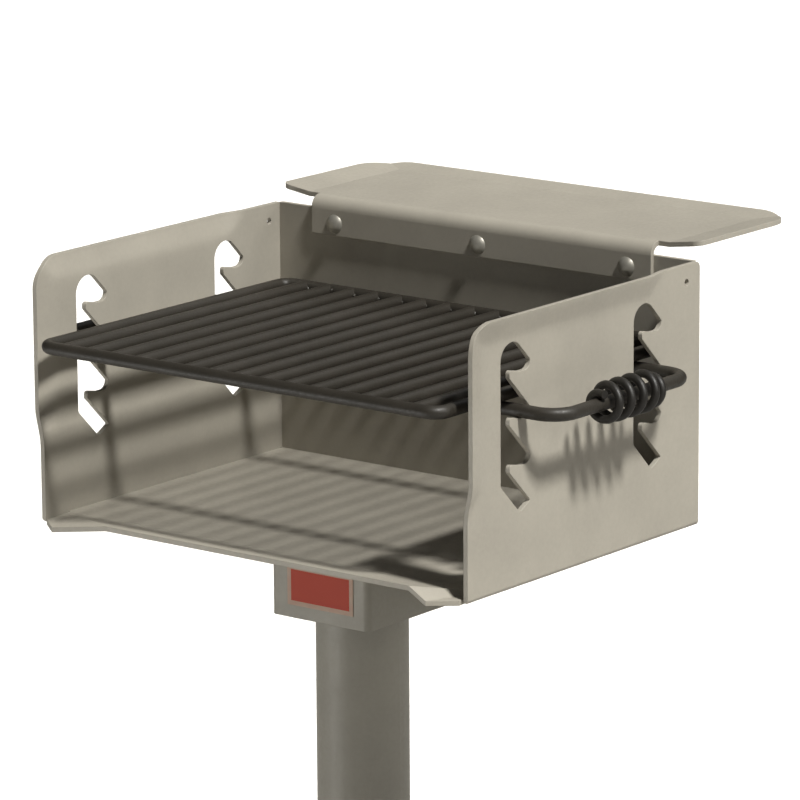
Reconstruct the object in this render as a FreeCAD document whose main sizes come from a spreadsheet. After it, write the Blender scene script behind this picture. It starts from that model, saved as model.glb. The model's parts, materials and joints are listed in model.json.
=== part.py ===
import FreeCAD, Part
import Sketcher
import math
import os

from FreeCAD import Placement, Rotation, Vector

# Park barbecue grill on a post, in millimetres. The origin is the middle of the base plate's
# underside, +Z is up, +Y points to the back of the grill and +X to its right-hand side.
# The firebox turns on the post, the grate lifts in four notched slots, and the coiled grips
# turn on the grate's handles.

doc = FreeCAD.newDocument("park_grill")
sheet = doc.addObject("Spreadsheet::Sheet", "Sizes")

FIREBOX = (
    ("box_width", 508.0, "over the outer faces of the side panels"),
    ("box_depth", 361.0, "front edge of a side panel to the outer face of the back"),
    ("box_height", 255.0, "underside of the floor to the top edge"),
    ("plate", 4.76, "sheet steel, three sixteenths of an inch"),
    ("floor_height", 762.0, "ground to the underside of the firebox floor"),
    ("box_offset", 12.0, "middle of the firebox behind the post's axis"),
    ("top_corner_round", 30.0, "front top corner of a side panel"),
    ("back_corner_round", 6.0, "back top corner of a side panel"),
    ("low_corner_round", 4.0, "front bottom corner of a side panel"),
    ("bend_round", 4.5, "outer radius of a side panel's bottom edge"),
)

PRESSED_EDGES = (
    ("flare_band", 22.0, "width of the band that is pressed outward"),
    ("flare_out", 6.0, "how far the band's edge stands out"),
    ("flare_front_end", 105.0, "where the front band runs out, above the underside"),
    ("flare_back_end", 84.0, "where the top band runs out, before the back edge"),
    ("flare_run_out", 24.0, "length of the sloping end of a band"),
    ("press_round", 7.0, "spacing of the net that rounds the pressed bend lines"),
    ("lip_band", 32.5, "bend line of the floor's lip behind the side panels' front edge"),
    ("lip_reach", 21.5, "the lip stands out past the side panels"),
    ("lip_rise", 10.2, "rise of the lip's middle at its edge"),
    ("lip_drop", 1.1, "drop of the lip's corner tips below the floor"),
    ("lip_left_corner", 94.0, "width of the left dropped corner, from the side panel"),
    ("lip_right_corner", 45.5, "width of the right dropped corner, from the side panel"),
    ("lip_tip", 26.5, "corner tip in from the side panel"),
    ("lip_gap", 3.0, "slit between the lip and a side panel"),
)

NOTCHED_SLOTS = (
    ("slot_inset", 49.5, "front edge of a side panel to the front slot"),
    ("slot_spacing", 205.0, "front slot to back slot"),
    ("slot_pitch", 43.5, "height of one grate level"),
    ("slot_lowest_seat", 69.9, "underside of the floor to the lowest seat"),
    ("slot_channel", 13.6, "width of the upright channel in front of the teeth"),
    ("slot_seat", 30.0, "front of the slot to the bottom of a seat"),
    ("slot_rod", 31.0, "front of the slot to the axis of a seated rod"),
    ("slot_reach", 44.5, "front of the slot to the back corner of a pocket"),
    ("slot_corner_rise", 8.6, "back corner of a pocket above its seat"),
    ("slot_tooth_rise", 3.2, "nose of a tooth above its seat"),
    ("slot_top_round", 17.0, "radius of the round top"),
    ("slot_pocket", 43.2, "front of the slot to the back of a seat's floor"),
    ("slot_pocket_round", 8.0, "round back of a seat"),
    ("slot_foot", 28.6, "front of the slot to the bottom of the lowest seat"),
    ("slot_foot_round", 5.0, "round bottom of the lowest seat"),
    ("slot_low_round", 6.0, "low end of the upright channel"),
    ("slot_corner_round", 1.2, "back corner of a pocket"),
    ("slot_seat_round", 8.0, "round front of a seat"),
    ("slot_nose_round", 3.0, "nose of a tooth"),
    ("slot_throat_round", 2.0, "where a tooth leaves the channel"),
)

GRATE = (
    ("rod", 12.7, "half inch round bar"),
    ("bar_pitch", 29.6, "middle to middle of the cooking bars"),
    ("bars_each_side", 7, "cooking bars on either side of the middle one"),
    ("grate_width", 480.0, "over the grate's frame"),
    ("grate_front", 23.0, "front of the grate ahead of the side panels' front edge"),
    ("grate_back_gap", 4.5, "back of the grate to the back panel"),
    ("grate_corner", 12.7, "bend radius of the grate's corners"),
    ("seat_level", 2, "seat that the grate rests on, counted from the top"),
    ("seat_gap", 0.3, "between a crossbar and its seat"),
    ("handle_out", 42.0, "side panel to the middle of the handle's grip"),
    ("handle_bend", 24.0, "bend radius of the handle"),
)

COILED_GRIPS = (
    ("coil_wire", 7.94, "five sixteenths of an inch"),
    ("coil_turns", 3.5, "open turns"),
    ("coil_length", 93.0, "over the coil"),
    ("coil_radius", 16.0, "axis to the middle of the wire in the open turns"),
    ("coil_front", 57.0, "front crossbar's axis to the front end of the coil"),
    ("coil_fit", 0.35, "end turns to the handle"),
)

SHELF = (
    ("shelf_width", 506.0, "over the turned-up margins"),
    ("shelf_depth", 176.0, "flange's front face to the back margin's edge"),
    ("shelf_flange_width", 409.0, "flange inside the firebox"),
    ("shelf_flange_drop", 38.0, "shelf top to the flange's lower edge"),
    ("shelf_height", 13.0, "shelf top above the side panels' top edge"),
    ("shelf_margin", 36.0, "width of the turned-up side margins"),
    ("shelf_back_margin", 18.0, "width of the turned-up back margin"),
    ("shelf_margin_rise", 5.0, "rise of the margins at their edge"),
    ("shelf_corner", 42.0, "round back corners"),
    ("shelf_front_corner", 10.0, "round front corners"),
    ("shelf_bend", 8.0, "inner radius of the flange's bend"),
    ("shelf_bolt_spacing", 176.0, "between the carriage bolts"),
    ("shelf_bolt_down", 13.3, "bolt's axis below the side panels' top edge"),
    ("shelf_bolt", 9.525, "carriage bolt shank"),
    ("shelf_bolt_head", 19.0, "carriage bolt head across"),
    ("shelf_bolt_head_rise", 5.0, "height of the domed head"),
    ("shelf_nut", 14.3, "nut across its flats"),
    ("shelf_nut_height", 8.2, "height of the nut"),
    ("shelf_washer", 22.0, "washer across"),
    ("shelf_washer_height", 1.6, "washer thickness"),
)

SWIVEL_AND_POST = (
    ("bracket_width", 117.0, "folded bracket across"),
    ("bracket_depth", 130.0, "folded bracket front to back"),
    ("bracket_height", 80.8, "folded bracket below the floor"),
    ("bracket_round", 6.5, "outer radius of the bracket's corners"),
    ("saddle_drop", 26.0, "top of the saddle plate below the floor"),
    ("saddle_thick", 6.35, "saddle plate"),
    ("turn_gap", 0.3, "between the turning saddle and what it turns on"),
    ("turn_washer", 60.0, "thrust washer across"),
    ("turn_washer_height", 3.2, "thrust washer thickness"),
    ("swivel_bolt", 15.875, "swivel bolt shank"),
    ("swivel_head", 23.8, "swivel bolt head across its flats"),
    ("swivel_head_height", 10.3, "height of the head"),
    ("swivel_nut_height", 13.9, "height of the nut"),
    ("swivel_fit", 0.08, "saddle hole round the bolt, on the radius"),
    ("post_diameter", 88.9, "three and a half inch pipe"),
    ("post_wall", 5.5, "wall of the pipe"),
    ("post_cap_thick", 9.5, "plate welded on the pipe"),
    ("base_width", 304.8, "square base plate"),
    ("base_thick", 12.7, "base plate"),
    ("base_round", 16.0, "corners of the base plate"),
    ("anchor_spacing", 241.3, "between anchor holes, both ways"),
    ("anchor_hole", 17.5, "anchor hole across"),
)

SMALL_DETAILS = (
    ("tie_hole", 6.5, "hole near the back top corner of a side panel"),
    ("tie_hole_back", 21.5, "hole to the back edge"),
    ("tie_hole_down", 17.0, "hole to the top edge"),
    ("plate_label_width", 78.8, "bare red plate on the bracket"),
    ("plate_label_height", 39.3, "bare red plate on the bracket"),
    ("plate_label_thick", 0.8, "bare red plate on the bracket"),
    ("plate_label_aside", 1.6, "plate's middle to the right of the post's axis"),
    ("plate_label_down", 28.9, "plate's top edge below the floor"),
)

SHEET = (
    ("Firebox", FIREBOX),
    ("Pressed edges", PRESSED_EDGES),
    ("Notched slots", NOTCHED_SLOTS),
    ("Grate", GRATE),
    ("Coiled grips", COILED_GRIPS),
    ("Shelf", SHELF),
    ("Swivel and post", SWIVEL_AND_POST),
    ("Small details", SMALL_DETAILS),
)

SIZE = {}
row = 1
for group, cells in SHEET:
    sheet.set("A%d" % row, group)
    row += 1
    for alias, value, note in cells:
        sheet.set("A%d" % row, note)
        sheet.set("B%d" % row, repr(value))
        sheet.setAlias("B%d" % row, alias)
        SIZE[alias] = value
        row += 1
doc.recompute()


def size(alias):
    """The value that the sheet holds under this alias."""
    return float(getattr(sheet, alias))


def ref(text):
    """An expression with each alias of the sheet written as the sheet's cell."""
    words = []
    word = ""
    for letter in text + " ":
        if letter.isalnum() or letter == "_":
            word += letter
            continue
        words.append("Sizes." + word if word in SIZE else word)
        words.append(letter)
        word = ""
    return "".join(words).strip()


PARTS = []


def keep(item, label):
    """Lists an object of the document as a piece of the grill."""
    item.Label = label
    PARTS.append(item)
    return item


def bind(item, **expressions):
    """Ties properties of an object to the sheet."""
    for name, text in expressions.items():
        item.setExpression(name, ref(text))


def place(item, x="0 mm", y="0 mm", z="0 mm"):
    """Ties the base of an object's placement to the sheet."""
    for axis, text in (("x", x), ("y", y), ("z", z)):
        item.setExpression("Placement.Base." + axis, ref(text))


def new_body(label):
    """A body that is kept as one piece."""
    body = doc.addObject("PartDesign::Body", label)
    return keep(body, label)


def plane_of(body, role):
    """An origin plane of a body, such as XY_Plane."""
    for feature in body.Origin.OriginFeatures:
        if feature.Role == role:
            return feature
    raise ValueError(role)


def new_sketch(body, name, role="XY_Plane", offset=None):
    """A sketch on an origin plane of its own body."""
    sketch = body.newObject("Sketcher::SketchObject", name)
    sketch.AttachmentSupport = (plane_of(body, role), "")
    sketch.MapMode = "FlatFace"
    if offset is not None:
        sketch.setExpression("AttachmentOffset.Base.z", ref(offset))
    return sketch


def add_circle(sketch, diameter, x=0.0, y=0.0):
    """A circle whose diameter is an expression."""
    index = sketch.addGeometry(Part.Circle(Vector(x, y, 0), Vector(0, 0, 1), 5.0))
    if x == 0.0 and y == 0.0:
        sketch.addConstraint(Sketcher.Constraint("Coincident", index, 3, -1, 1))
    sketch.addConstraint(Sketcher.Constraint("Diameter", index, 10.0))
    sketch.setExpression("Constraints[%d]" % (sketch.ConstraintCount - 1), ref(diameter))
    return index


def add_hexagon(sketch, flats):
    """A hexagon round the origin, its size across flats an expression."""
    corner = 10.0
    first = None
    for side in range(6):
        a = math.radians(60 * side)
        b = math.radians(60 * side + 60)
        start = Vector(corner * math.cos(a), corner * math.sin(a), 0)
        end = Vector(corner * math.cos(b), corner * math.sin(b), 0)
        index = sketch.addGeometry(Part.LineSegment(start, end))
        first = index if first is None else first
    ring = sketch.addGeometry(Part.Circle(Vector(0, 0, 0), Vector(0, 0, 1), corner), True)
    sketch.addConstraint(Sketcher.Constraint("Coincident", ring, 3, -1, 1))
    for side in range(6):
        following = first + (side + 1) % 6
        sketch.addConstraint(Sketcher.Constraint("Coincident", first + side, 2, following, 1))
        sketch.addConstraint(Sketcher.Constraint("PointOnObject", first + side, 1, ring))
    for side in range(5):
        sketch.addConstraint(Sketcher.Constraint("Equal", first, first + side + 1))
    sketch.addConstraint(Sketcher.Constraint("PointOnObject", first, 1, -1))
    sketch.addConstraint(Sketcher.Constraint("Radius", ring, corner))
    sketch.setExpression("Constraints[%d]" % (sketch.ConstraintCount - 1),
                         ref(flats + " / sqrt(3)"))


def add_rectangle(sketch, width, depth):
    """A rectangle centred on the origin, its two sizes expressions."""
    corners = (Vector(-5, -5, 0), Vector(5, -5, 0), Vector(5, 5, 0), Vector(-5, 5, 0))
    sides = []
    for index in range(4):
        line = Part.LineSegment(corners[index], corners[(index + 1) % 4])
        sides.append(sketch.addGeometry(line))
    for index in range(4):
        following = sides[(index + 1) % 4]
        sketch.addConstraint(Sketcher.Constraint("Coincident", sides[index], 2, following, 1))
        kind = "Horizontal" if index % 2 == 0 else "Vertical"
        sketch.addConstraint(Sketcher.Constraint(kind, sides[index]))
    sketch.addConstraint(Sketcher.Constraint("Symmetric", sides[0], 1, sides[2], 1, -1, 1))
    sketch.addConstraint(Sketcher.Constraint("DistanceX", sides[0], 1, sides[0], 2, 10.0))
    sketch.setExpression("Constraints[%d]" % (sketch.ConstraintCount - 1), ref(width))
    sketch.addConstraint(Sketcher.Constraint("DistanceY", sides[1], 1, sides[1], 2, 10.0))
    sketch.setExpression("Constraints[%d]" % (sketch.ConstraintCount - 1), ref(depth))


def pad(body, sketch, length, down=False):
    """Pads a sketch by an expression."""
    feature = body.newObject("PartDesign::Pad", sketch.Name + "Pad")
    feature.Profile = sketch
    feature.Reversed = down
    feature.setExpression("Length", ref(length))
    doc.recompute()
    return feature


def pocket(body, sketch, upward):
    """Cuts a sketch through its body, and tests that it took something away."""
    before = body.Shape.Volume
    feature = body.newObject("PartDesign::Pocket", sketch.Name + "Pocket")
    feature.Profile = sketch
    feature.Type = "ThroughAll"
    feature.Reversed = upward
    doc.recompute()
    if body.Shape.Volume >= before:
        raise ValueError("a pocket of %s cut nothing" % body.Label)
    return feature


def round_uprights(body, radius):
    """Rounds the four upright corner edges of a body."""
    feature = body.Tip
    box = feature.Shape.BoundBox
    names = []
    for index, edge in enumerate(feature.Shape.Edges):
        bounds = edge.BoundBox
        corner = abs(abs(bounds.Center.x) - box.XMax) < 0.01
        corner = corner and abs(abs(bounds.Center.y) - box.YMax) < 0.01
        if corner and bounds.XLength < 0.01 and bounds.YLength < 0.01:
            names.append("Edge%d" % (index + 1))
    fillet = body.newObject("PartDesign::Fillet", "Corners")
    fillet.Base = (feature, names)
    fillet.setExpression("Radius", ref(radius))
    doc.recompute()
    return fillet


def rounded_wire(points, radii):
    """A closed wire through flat points, each corner rounded by its own radius."""
    count = len(points)
    starts = []
    ends = []
    middles = []
    for index in range(count):
        here = points[index]
        radius = radii[index]
        back = (points[index - 1] - here).normalize()
        ahead = (points[(index + 1) % count] - here).normalize()
        half = back.getAngle(ahead) / 2
        if radius <= 0 or half > math.radians(89.5):
            starts.append(here)
            ends.append(here)
            middles.append(None)
            continue
        reach = radius / math.tan(half)
        starts.append(here + back * reach)
        ends.append(here + ahead * reach)
        inward = (back + ahead).normalize()
        middles.append(here + inward * (radius / math.sin(half) - radius))
    edges = []
    for index in range(count):
        if middles[index] is not None:
            edges.append(Part.Arc(starts[index], middles[index], ends[index]).toShape())
        following = starts[(index + 1) % count]
        if (following - ends[index]).Length > 1e-6:
            edges.append(Part.LineSegment(ends[index], following).toShape())
    return Part.Wire(Part.sortEdges(edges)[0])


def prism(points, along):
    """A flat polygon pulled along a vector."""
    wire = Part.makePolygon(list(points) + [points[0]])
    return Part.Face(wire).extrude(along)


def one_solid(shape, label):
    """The single solid of a shape, with its split faces merged."""
    clean = shape.removeSplitter()
    if len(clean.Solids) != 1:
        raise ValueError("%s has %d solids" % (label, len(clean.Solids)))
    return clean.Solids[0]


def feature_from(shape, label):
    """Keeps a shape that was worked out from the sheet as one piece."""
    item = doc.addObject("Part::Feature", label)
    item.Shape = shape
    return keep(item, label)


# Shared places, all from the sheet.
half_width = size("box_width") / 2
plate = size("plate")
underside = size("floor_height")
box_front = size("box_offset") - size("box_depth") / 2
box_back = size("box_offset") + size("box_depth") / 2
top_edge = underside + size("box_height")
back_inner = box_back - plate
flange_front = back_inner - plate


def slot_frame(which):
    """Front edge of the front slot (0) or of the back slot (1)."""
    return box_front + size("slot_inset") + which * size("slot_spacing")


def seat_height(level):
    """Height of a seat's bottom, level 1 at the top."""
    return underside + size("slot_lowest_seat") + (4 - level) * size("slot_pitch")


def seated_rod():
    """Where a rod's axis lies in a seat, from the slot's front edge and the seat's bottom."""
    return Vector(size("slot_rod"), size("rod") / 2 + size("seat_gap"), 0)


def outward(side):
    """Direction out of a side panel: 1 on the right, -1 on the left."""
    return Vector(side, 0, 0)


def pressed_sheet(facets, along):
    """Sheet steel made of flat facets, each a list of points, with its thickness along a vector."""
    solids = [prism(points, along) for points in facets]
    return solids[0].fuse(solids[1:]).removeSplitter()


def slot_cutter(which, side):
    """The notched slot, as a solid that passes through a side panel."""
    front = slot_frame(which)
    reach = size("slot_reach")
    rise = size("slot_corner_rise")
    foot = size("slot_foot")
    channel = size("slot_channel")
    low = seat_height(4)
    slant = rise + reach - size("slot_pitch")
    outline = [(0.0, low + foot, size("slot_low_round")),
               (0.0, seat_height(1) + rise + reach, size("slot_top_round"))]
    for level in (1, 2, 3):
        seat = seat_height(level)
        outline.append((reach, seat + rise, size("slot_corner_round")))
        outline.append((size("slot_pocket"), seat, size("slot_pocket_round")))
        outline.append((size("slot_seat"), seat, size("slot_seat_round")))
        outline.append((channel, seat + size("slot_tooth_rise"), size("slot_nose_round")))
        outline.append((channel, seat + slant - channel, size("slot_throat_round")))
    outline.append((reach, low + rise, size("slot_corner_round")))
    outline.append((foot, low, size("slot_foot_round")))
    points = [Vector(0, front + along, height) for along, height, corner in outline]
    wire = rounded_wire(points, [corner for along, height, corner in outline])
    wire.translate(outward(side) * (half_width - 3 * plate))
    return Part.Face(wire).extrude(outward(side) * 6 * plate)


def stand_out(along, height):
    """How far a side panel's face stands out of its flat middle at a place."""
    band = size("flare_band")
    full = size("flare_out")
    run = size("flare_run_out")
    front = 1 - (along - box_front) / band
    top = 1 - (top_edge - height) / band
    front_fade = (height - underside - size("flare_front_end")) / run + front
    top_fade = (box_back - size("flare_back_end") - along) / run + top
    front = min(front, front_fade) if height < top_edge - 2 * band else front
    top = min(top, top_fade)
    return full * max(0.0, front, top)


def pressed_face(side):
    """The outer face of a side panel as one smooth surface, a little larger than the panel."""
    step = size("press_round")
    across = int(size("box_depth") / step) + 5
    up = int(size("box_height") / step) + 5
    poles = []
    for i in range(across + 1):
        along = box_front + (i - 2) * size("box_depth") / (across - 4)
        column = []
        for j in range(up + 1):
            height = underside + (j - 2) * size("box_height") / (up - 4)
            out = stand_out(along, min(height, top_edge))
            column.append(Vector(side * (half_width + out), along, height))
        poles.append(column)

    def ends(count):
        inner = count - 2
        return [float(k) for k in range(inner + 1)], [4] + [1] * (inner - 1) + [4]

    knots_along, counts_along = ends(across)
    knots_up, counts_up = ends(up)
    surface = Part.BSplineSurface()
    surface.buildFromPolesMultsKnots(poles, counts_along, counts_up, knots_along, knots_up,
                                     False, False, 3, 3)
    return surface.toShape()


def fold_cutter(side):
    """What the rounding of a side panel's outer bottom edge takes away."""
    radius = size("bend_round")
    axis = Vector(side * (half_width - radius), box_front - radius, underside + radius)
    length = size("box_depth") + 2 * radius
    corner = Part.makeBox(2 * radius, length, 2 * radius,
                          axis - Vector(radius - side * radius, 0, 2 * radius))
    return corner.cut(Part.makeCylinder(radius, length, axis, Vector(0, 1, 0)))


def side_panel(side, label):
    """A side panel: pressed bands along its front and top, two slots and a small hole."""
    sheet_metal = pressed_face(side).extrude(outward(side) * -plate)
    outline = [Vector(0, box_front, underside), Vector(0, box_back, underside),
               Vector(0, box_back, top_edge), Vector(0, box_front, top_edge)]
    wire = rounded_wire(outline, [size("low_corner_round"), 0.0, size("back_corner_round"),
                                  size("top_corner_round")])
    wire.translate(outward(side) * (half_width - 2 * plate))
    panel = sheet_metal.common(Part.Face(wire).extrude(outward(side) * 5 * plate))
    panel = panel.cut(fold_cutter(side))
    for which in (0, 1):
        panel = panel.cut(slot_cutter(which, side))
    hole_spot = Vector(side * (half_width - 2 * plate), box_back - size("tie_hole_back"),
                       top_edge - size("tie_hole_down"))
    hole = Part.makeCylinder(size("tie_hole") / 2, 4 * plate, hole_spot, outward(side))
    return feature_from(one_solid(panel.cut(hole), label), label)


def floor_panel():
    """The floor: flat between the sides, its front raised and the front corners folded down."""
    inner = half_width - plate
    bend = box_front + size("lip_band")
    edge = box_front - size("lip_reach")
    level = underside + plate

    def spot(across, along, rise):
        return Vector(across, along, level + rise)

    crest = {1: inner - size("lip_right_corner"), -1: inner - size("lip_left_corner")}
    tip = inner - size("lip_tip")
    facets = [[spot(-inner, back_inner, 0), spot(inner, back_inner, 0), spot(inner, bend, 0),
               spot(-inner, bend, 0)],
              [spot(-inner, bend, 0), spot(inner, bend, 0),
               spot(crest[1], edge, size("lip_rise")), spot(-crest[-1], edge, size("lip_rise"))]]
    for side in (1, -1):
        start = spot(side * inner, bend, 0)
        point = spot(side * tip, edge, -size("lip_drop"))
        facets.append([start, spot(side * crest[side], edge, size("lip_rise")), point])
        facets.append([start, point, spot(side * inner, box_front, -size("lip_drop"))])
    shape = pressed_sheet(facets, Vector(0, 0, -plate))
    for side in (1, -1):
        slit = Part.makeBox(size("lip_gap"), box_front - edge + size("lip_band"), 12 * plate,
                            Vector(side * (inner - size("lip_gap") / 2) - size("lip_gap") / 2,
                                   edge, underside - 6 * plate))
        shape = shape.cut(slit)
    return feature_from(one_solid(shape, "floor_panel"), "floor_panel")


def shelf():
    """The utility shelf: a dished plate with a flange bent down inside the firebox."""
    top = top_edge + size("shelf_height")
    half = size("shelf_width") / 2
    front = flange_front + plate + size("shelf_bend")
    back = flange_front + size("shelf_depth")
    side_bend = half - size("shelf_margin")
    back_bend = back - size("shelf_back_margin")
    rise = size("shelf_margin_rise")

    def spot(across, along, lift):
        return Vector(across, along, top + lift)

    facets = [[spot(-side_bend, front, 0), spot(side_bend, front, 0),
               spot(side_bend, back_bend, 0), spot(-side_bend, back_bend, 0)],
              [spot(-side_bend, back_bend, 0), spot(side_bend, back_bend, 0),
               spot(half, back, rise), spot(-half, back, rise)]]
    for side in (1, -1):
        facets.append([spot(side * side_bend, front, 0), spot(side * half, front, rise),
                       spot(side * half, back, rise), spot(side * side_bend, back_bend, 0)])
    dished = pressed_sheet(facets, Vector(0, 0, -plate))
    outline = [Vector(-half, front, top), Vector(half, front, top), Vector(half, back, top),
               Vector(-half, back, top)]
    round_front = size("shelf_front_corner")
    round_back = size("shelf_corner")
    wire = rounded_wire(outline, [round_front, round_front, round_back, round_back])
    wire.translate(Vector(0, 0, -2 * plate))
    plate_part = dished.common(Part.Face(wire).extrude(Vector(0, 0, 5 * plate)))

    inner = size("shelf_bend")
    outer = inner + plate
    start = Vector(-size("shelf_flange_width") / 2, 0, 0)
    low = top - size("shelf_flange_drop")
    middle = Vector(start.x, front, top - outer)
    lean = math.sqrt(0.5)

    def rim(radius):
        return (middle + Vector(0, -radius, 0), middle + Vector(0, -radius * lean, radius * lean),
                middle + Vector(0, 0, radius))

    outside = rim(outer)
    inside = rim(inner)
    corners = (Vector(start.x, flange_front, low), Vector(start.x, flange_front + plate, low))
    edges = [Part.LineSegment(corners[0], outside[0]), Part.Arc(*outside),
             Part.LineSegment(outside[2], inside[2]), Part.Arc(*inside),
             Part.LineSegment(inside[0], corners[1]), Part.LineSegment(corners[1], corners[0])]
    profile = Part.Wire([edge.toShape() for edge in edges])
    flange = Part.Face(profile).extrude(Vector(size("shelf_flange_width"), 0, 0))
    shape = plate_part.fuse(flange)
    for step in (-1, 0, 1):
        hole = Part.makeCylinder(size("shelf_bolt") / 2, 3 * plate,
                                 Vector(step * size("shelf_bolt_spacing"), flange_front - plate,
                                        bolt_height), Vector(0, 1, 0))
        shape = shape.cut(hole)
    return feature_from(one_solid(shape, "utility_shelf"), "utility_shelf")


def back_panel():
    """The back panel, with a hole for each carriage bolt."""
    body = new_body("back_panel")
    sheet_face = new_sketch(body, "BackPanel", "XZ_Plane")
    add_rectangle(sheet_face, "box_width - 2 * plate", "box_height")
    pad(body, sheet_face, "plate", down=True)
    holes = new_sketch(body, "BackPanelHoles", "XZ_Plane")
    for step in (-1, 0, 1):
        index = add_circle(holes, "shelf_bolt", step * 20.0, 10.0)
        holes.addConstraint(Sketcher.Constraint("DistanceY", -1, 1, index, 3, 10.0))
        holes.setExpression("Constraints[%d]" % (holes.ConstraintCount - 1),
                            ref("box_height / 2 - shelf_bolt_down"))
        if step:
            ends = (-1, 1, index, 3) if step > 0 else (index, 3, -1, 1)
            holes.addConstraint(Sketcher.Constraint("DistanceX", *ends, 10.0))
            holes.setExpression("Constraints[%d]" % (holes.ConstraintCount - 1),
                                ref("shelf_bolt_spacing"))
        else:
            holes.addConstraint(Sketcher.Constraint("PointOnObject", index, 3, -2))
    pocket(body, holes, False)
    place(body, y="(box_offset + box_depth / 2 - plate) * 1 mm",
          z="(floor_height + box_height / 2) * 1 mm")


def shelf_fastener(step, name):
    """A carriage bolt with a domed head on the flange, and its washer and nut behind."""
    across = "%d * shelf_bolt_spacing * 1 mm" % step
    height = "(floor_height + box_height - shelf_bolt_down) * 1 mm"
    dome_radius = "(shelf_bolt_head^2 / 4 + shelf_bolt_head_rise^2) / (2 * shelf_bolt_head_rise)"
    ball = doc.addObject("Part::Sphere", "Ball")
    bind(ball, Radius="(%s) * 1 mm" % dome_radius)
    bind_base(ball, z="((%s) - shelf_bolt_head_rise) * 1 mm" % dome_radius)
    collar = doc.addObject("Part::Cylinder", "Collar")
    bind(collar, Radius="shelf_bolt_head / 2 * 1 mm", Height="shelf_bolt_head_rise * 1 mm")
    bind_base(collar, z="-shelf_bolt_head_rise * 1 mm")
    dome = doc.addObject("Part::Common", "Dome")
    dome.Base = ball
    dome.Tool = collar
    shank = doc.addObject("Part::Cylinder", "Shank")
    bind(shank, Radius="shelf_bolt / 2 * 1 mm",
         Height="(2 * plate + shelf_washer_height + shelf_nut_height + 2) * 1 mm")
    bolt = doc.addObject("Part::Fuse", "Bolt")
    bolt.Base = dome
    bolt.Tool = shank
    bolt.Placement = Placement(Vector(0, 0, 0), Rotation(Vector(1, 0, 0), -90))
    keep(bolt, "shelf_bolt_" + name)
    place(bolt, across, "(box_offset + box_depth / 2 - 2 * plate) * 1 mm", height)
    washer_back = "(box_offset + box_depth / 2) * 1 mm"
    nut_back = "(box_offset + box_depth / 2 + shelf_washer_height) * 1 mm"
    ring_piece("shelf_washer_" + name, "shelf_washer", "shelf_bolt", "shelf_washer_height",
               across, washer_back, height, True)
    nut_piece("shelf_nut_" + name, "shelf_nut", "shelf_bolt", "shelf_nut_height",
              across, nut_back, height, True)


def bind_base(item, **axes):
    """Ties the base of a primitive's placement to the sheet."""
    for axis, text in axes.items():
        item.setExpression("Placement.Base." + axis, ref(text))


def ring_piece(label, outer, inner, height, x, y, z, lying=False):
    """A washer or plain ring."""
    body = new_body(label)
    ring = new_sketch(body, label + "_ring")
    add_circle(ring, outer)
    add_circle(ring, inner)
    pad(body, ring, height)
    if lying:
        body.Placement = Placement(Vector(0, 0, 0), Rotation(Vector(1, 0, 0), -90))
    place(body, x, y, z)
    return body


def nut_piece(label, flats, bore, height, x, y, z, lying=False):
    """A hexagon nut with a plain bore."""
    body = new_body(label)
    ring = new_sketch(body, label + "_hexagon")
    add_hexagon(ring, flats)
    add_circle(ring, bore)
    pad(body, ring, height)
    if lying:
        body.Placement = Placement(Vector(0, 0, 0), Rotation(Vector(1, 0, 0), -90))
    place(body, x, y, z)
    return body


def pedestal():
    """Base plate, pipe, cap and the swivel bolt that holds the firebox."""
    body = new_body("base_plate")
    outline = new_sketch(body, "BaseOutline")
    add_rectangle(outline, "base_width", "base_width")
    pad(body, outline, "base_thick")
    round_uprights(body, "base_round")
    holes = new_sketch(body, "AnchorHoles")
    for right in (-1, 1):
        for back in (-1, 1):
            index = add_circle(holes, "anchor_hole", right * 20.0, back * 20.0)
            for kind, sign in (("DistanceX", right), ("DistanceY", back)):
                ends = (-1, 1, index, 3) if sign > 0 else (index, 3, -1, 1)
                holes.addConstraint(Sketcher.Constraint(kind, *ends, 10.0))
                holes.setExpression("Constraints[%d]" % (holes.ConstraintCount - 1),
                                    ref("anchor_spacing / 2"))
    pocket(body, holes, True)

    post_top = "(floor_height - saddle_drop - saddle_thick - turn_gap - turn_washer_height" \
        " - post_cap_thick)"
    ring_piece("post", "post_diameter", "post_diameter - 2 * post_wall",
               post_top + " - base_thick", "0 mm", "0 mm", "base_thick * 1 mm")
    ring_piece("post_cap", "post_diameter", "swivel_bolt", "post_cap_thick",
               "0 mm", "0 mm", post_top + " * 1 mm")
    ring_piece("thrust_washer", "turn_washer", "swivel_bolt", "turn_washer_height",
               "0 mm", "0 mm", "(%s + post_cap_thick) * 1 mm" % post_top)
    nut_piece("swivel_nut", "swivel_head", "swivel_bolt", "swivel_nut_height",
              "0 mm", "0 mm", "(%s - swivel_nut_height) * 1 mm" % post_top)

    bolt = new_body("swivel_bolt")
    head = new_sketch(bolt, "SwivelHead")
    add_hexagon(head, "swivel_head")
    pad(bolt, head, "swivel_head_height")
    shank = new_sketch(bolt, "SwivelShank")
    add_circle(shank, "swivel_bolt")
    pad(bolt, shank, "saddle_thick + 2 * turn_gap + turn_washer_height + post_cap_thick"
        " + swivel_nut_height + 4", down=True)
    place(bolt, z="(floor_height - saddle_drop + turn_gap) * 1 mm")


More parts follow.
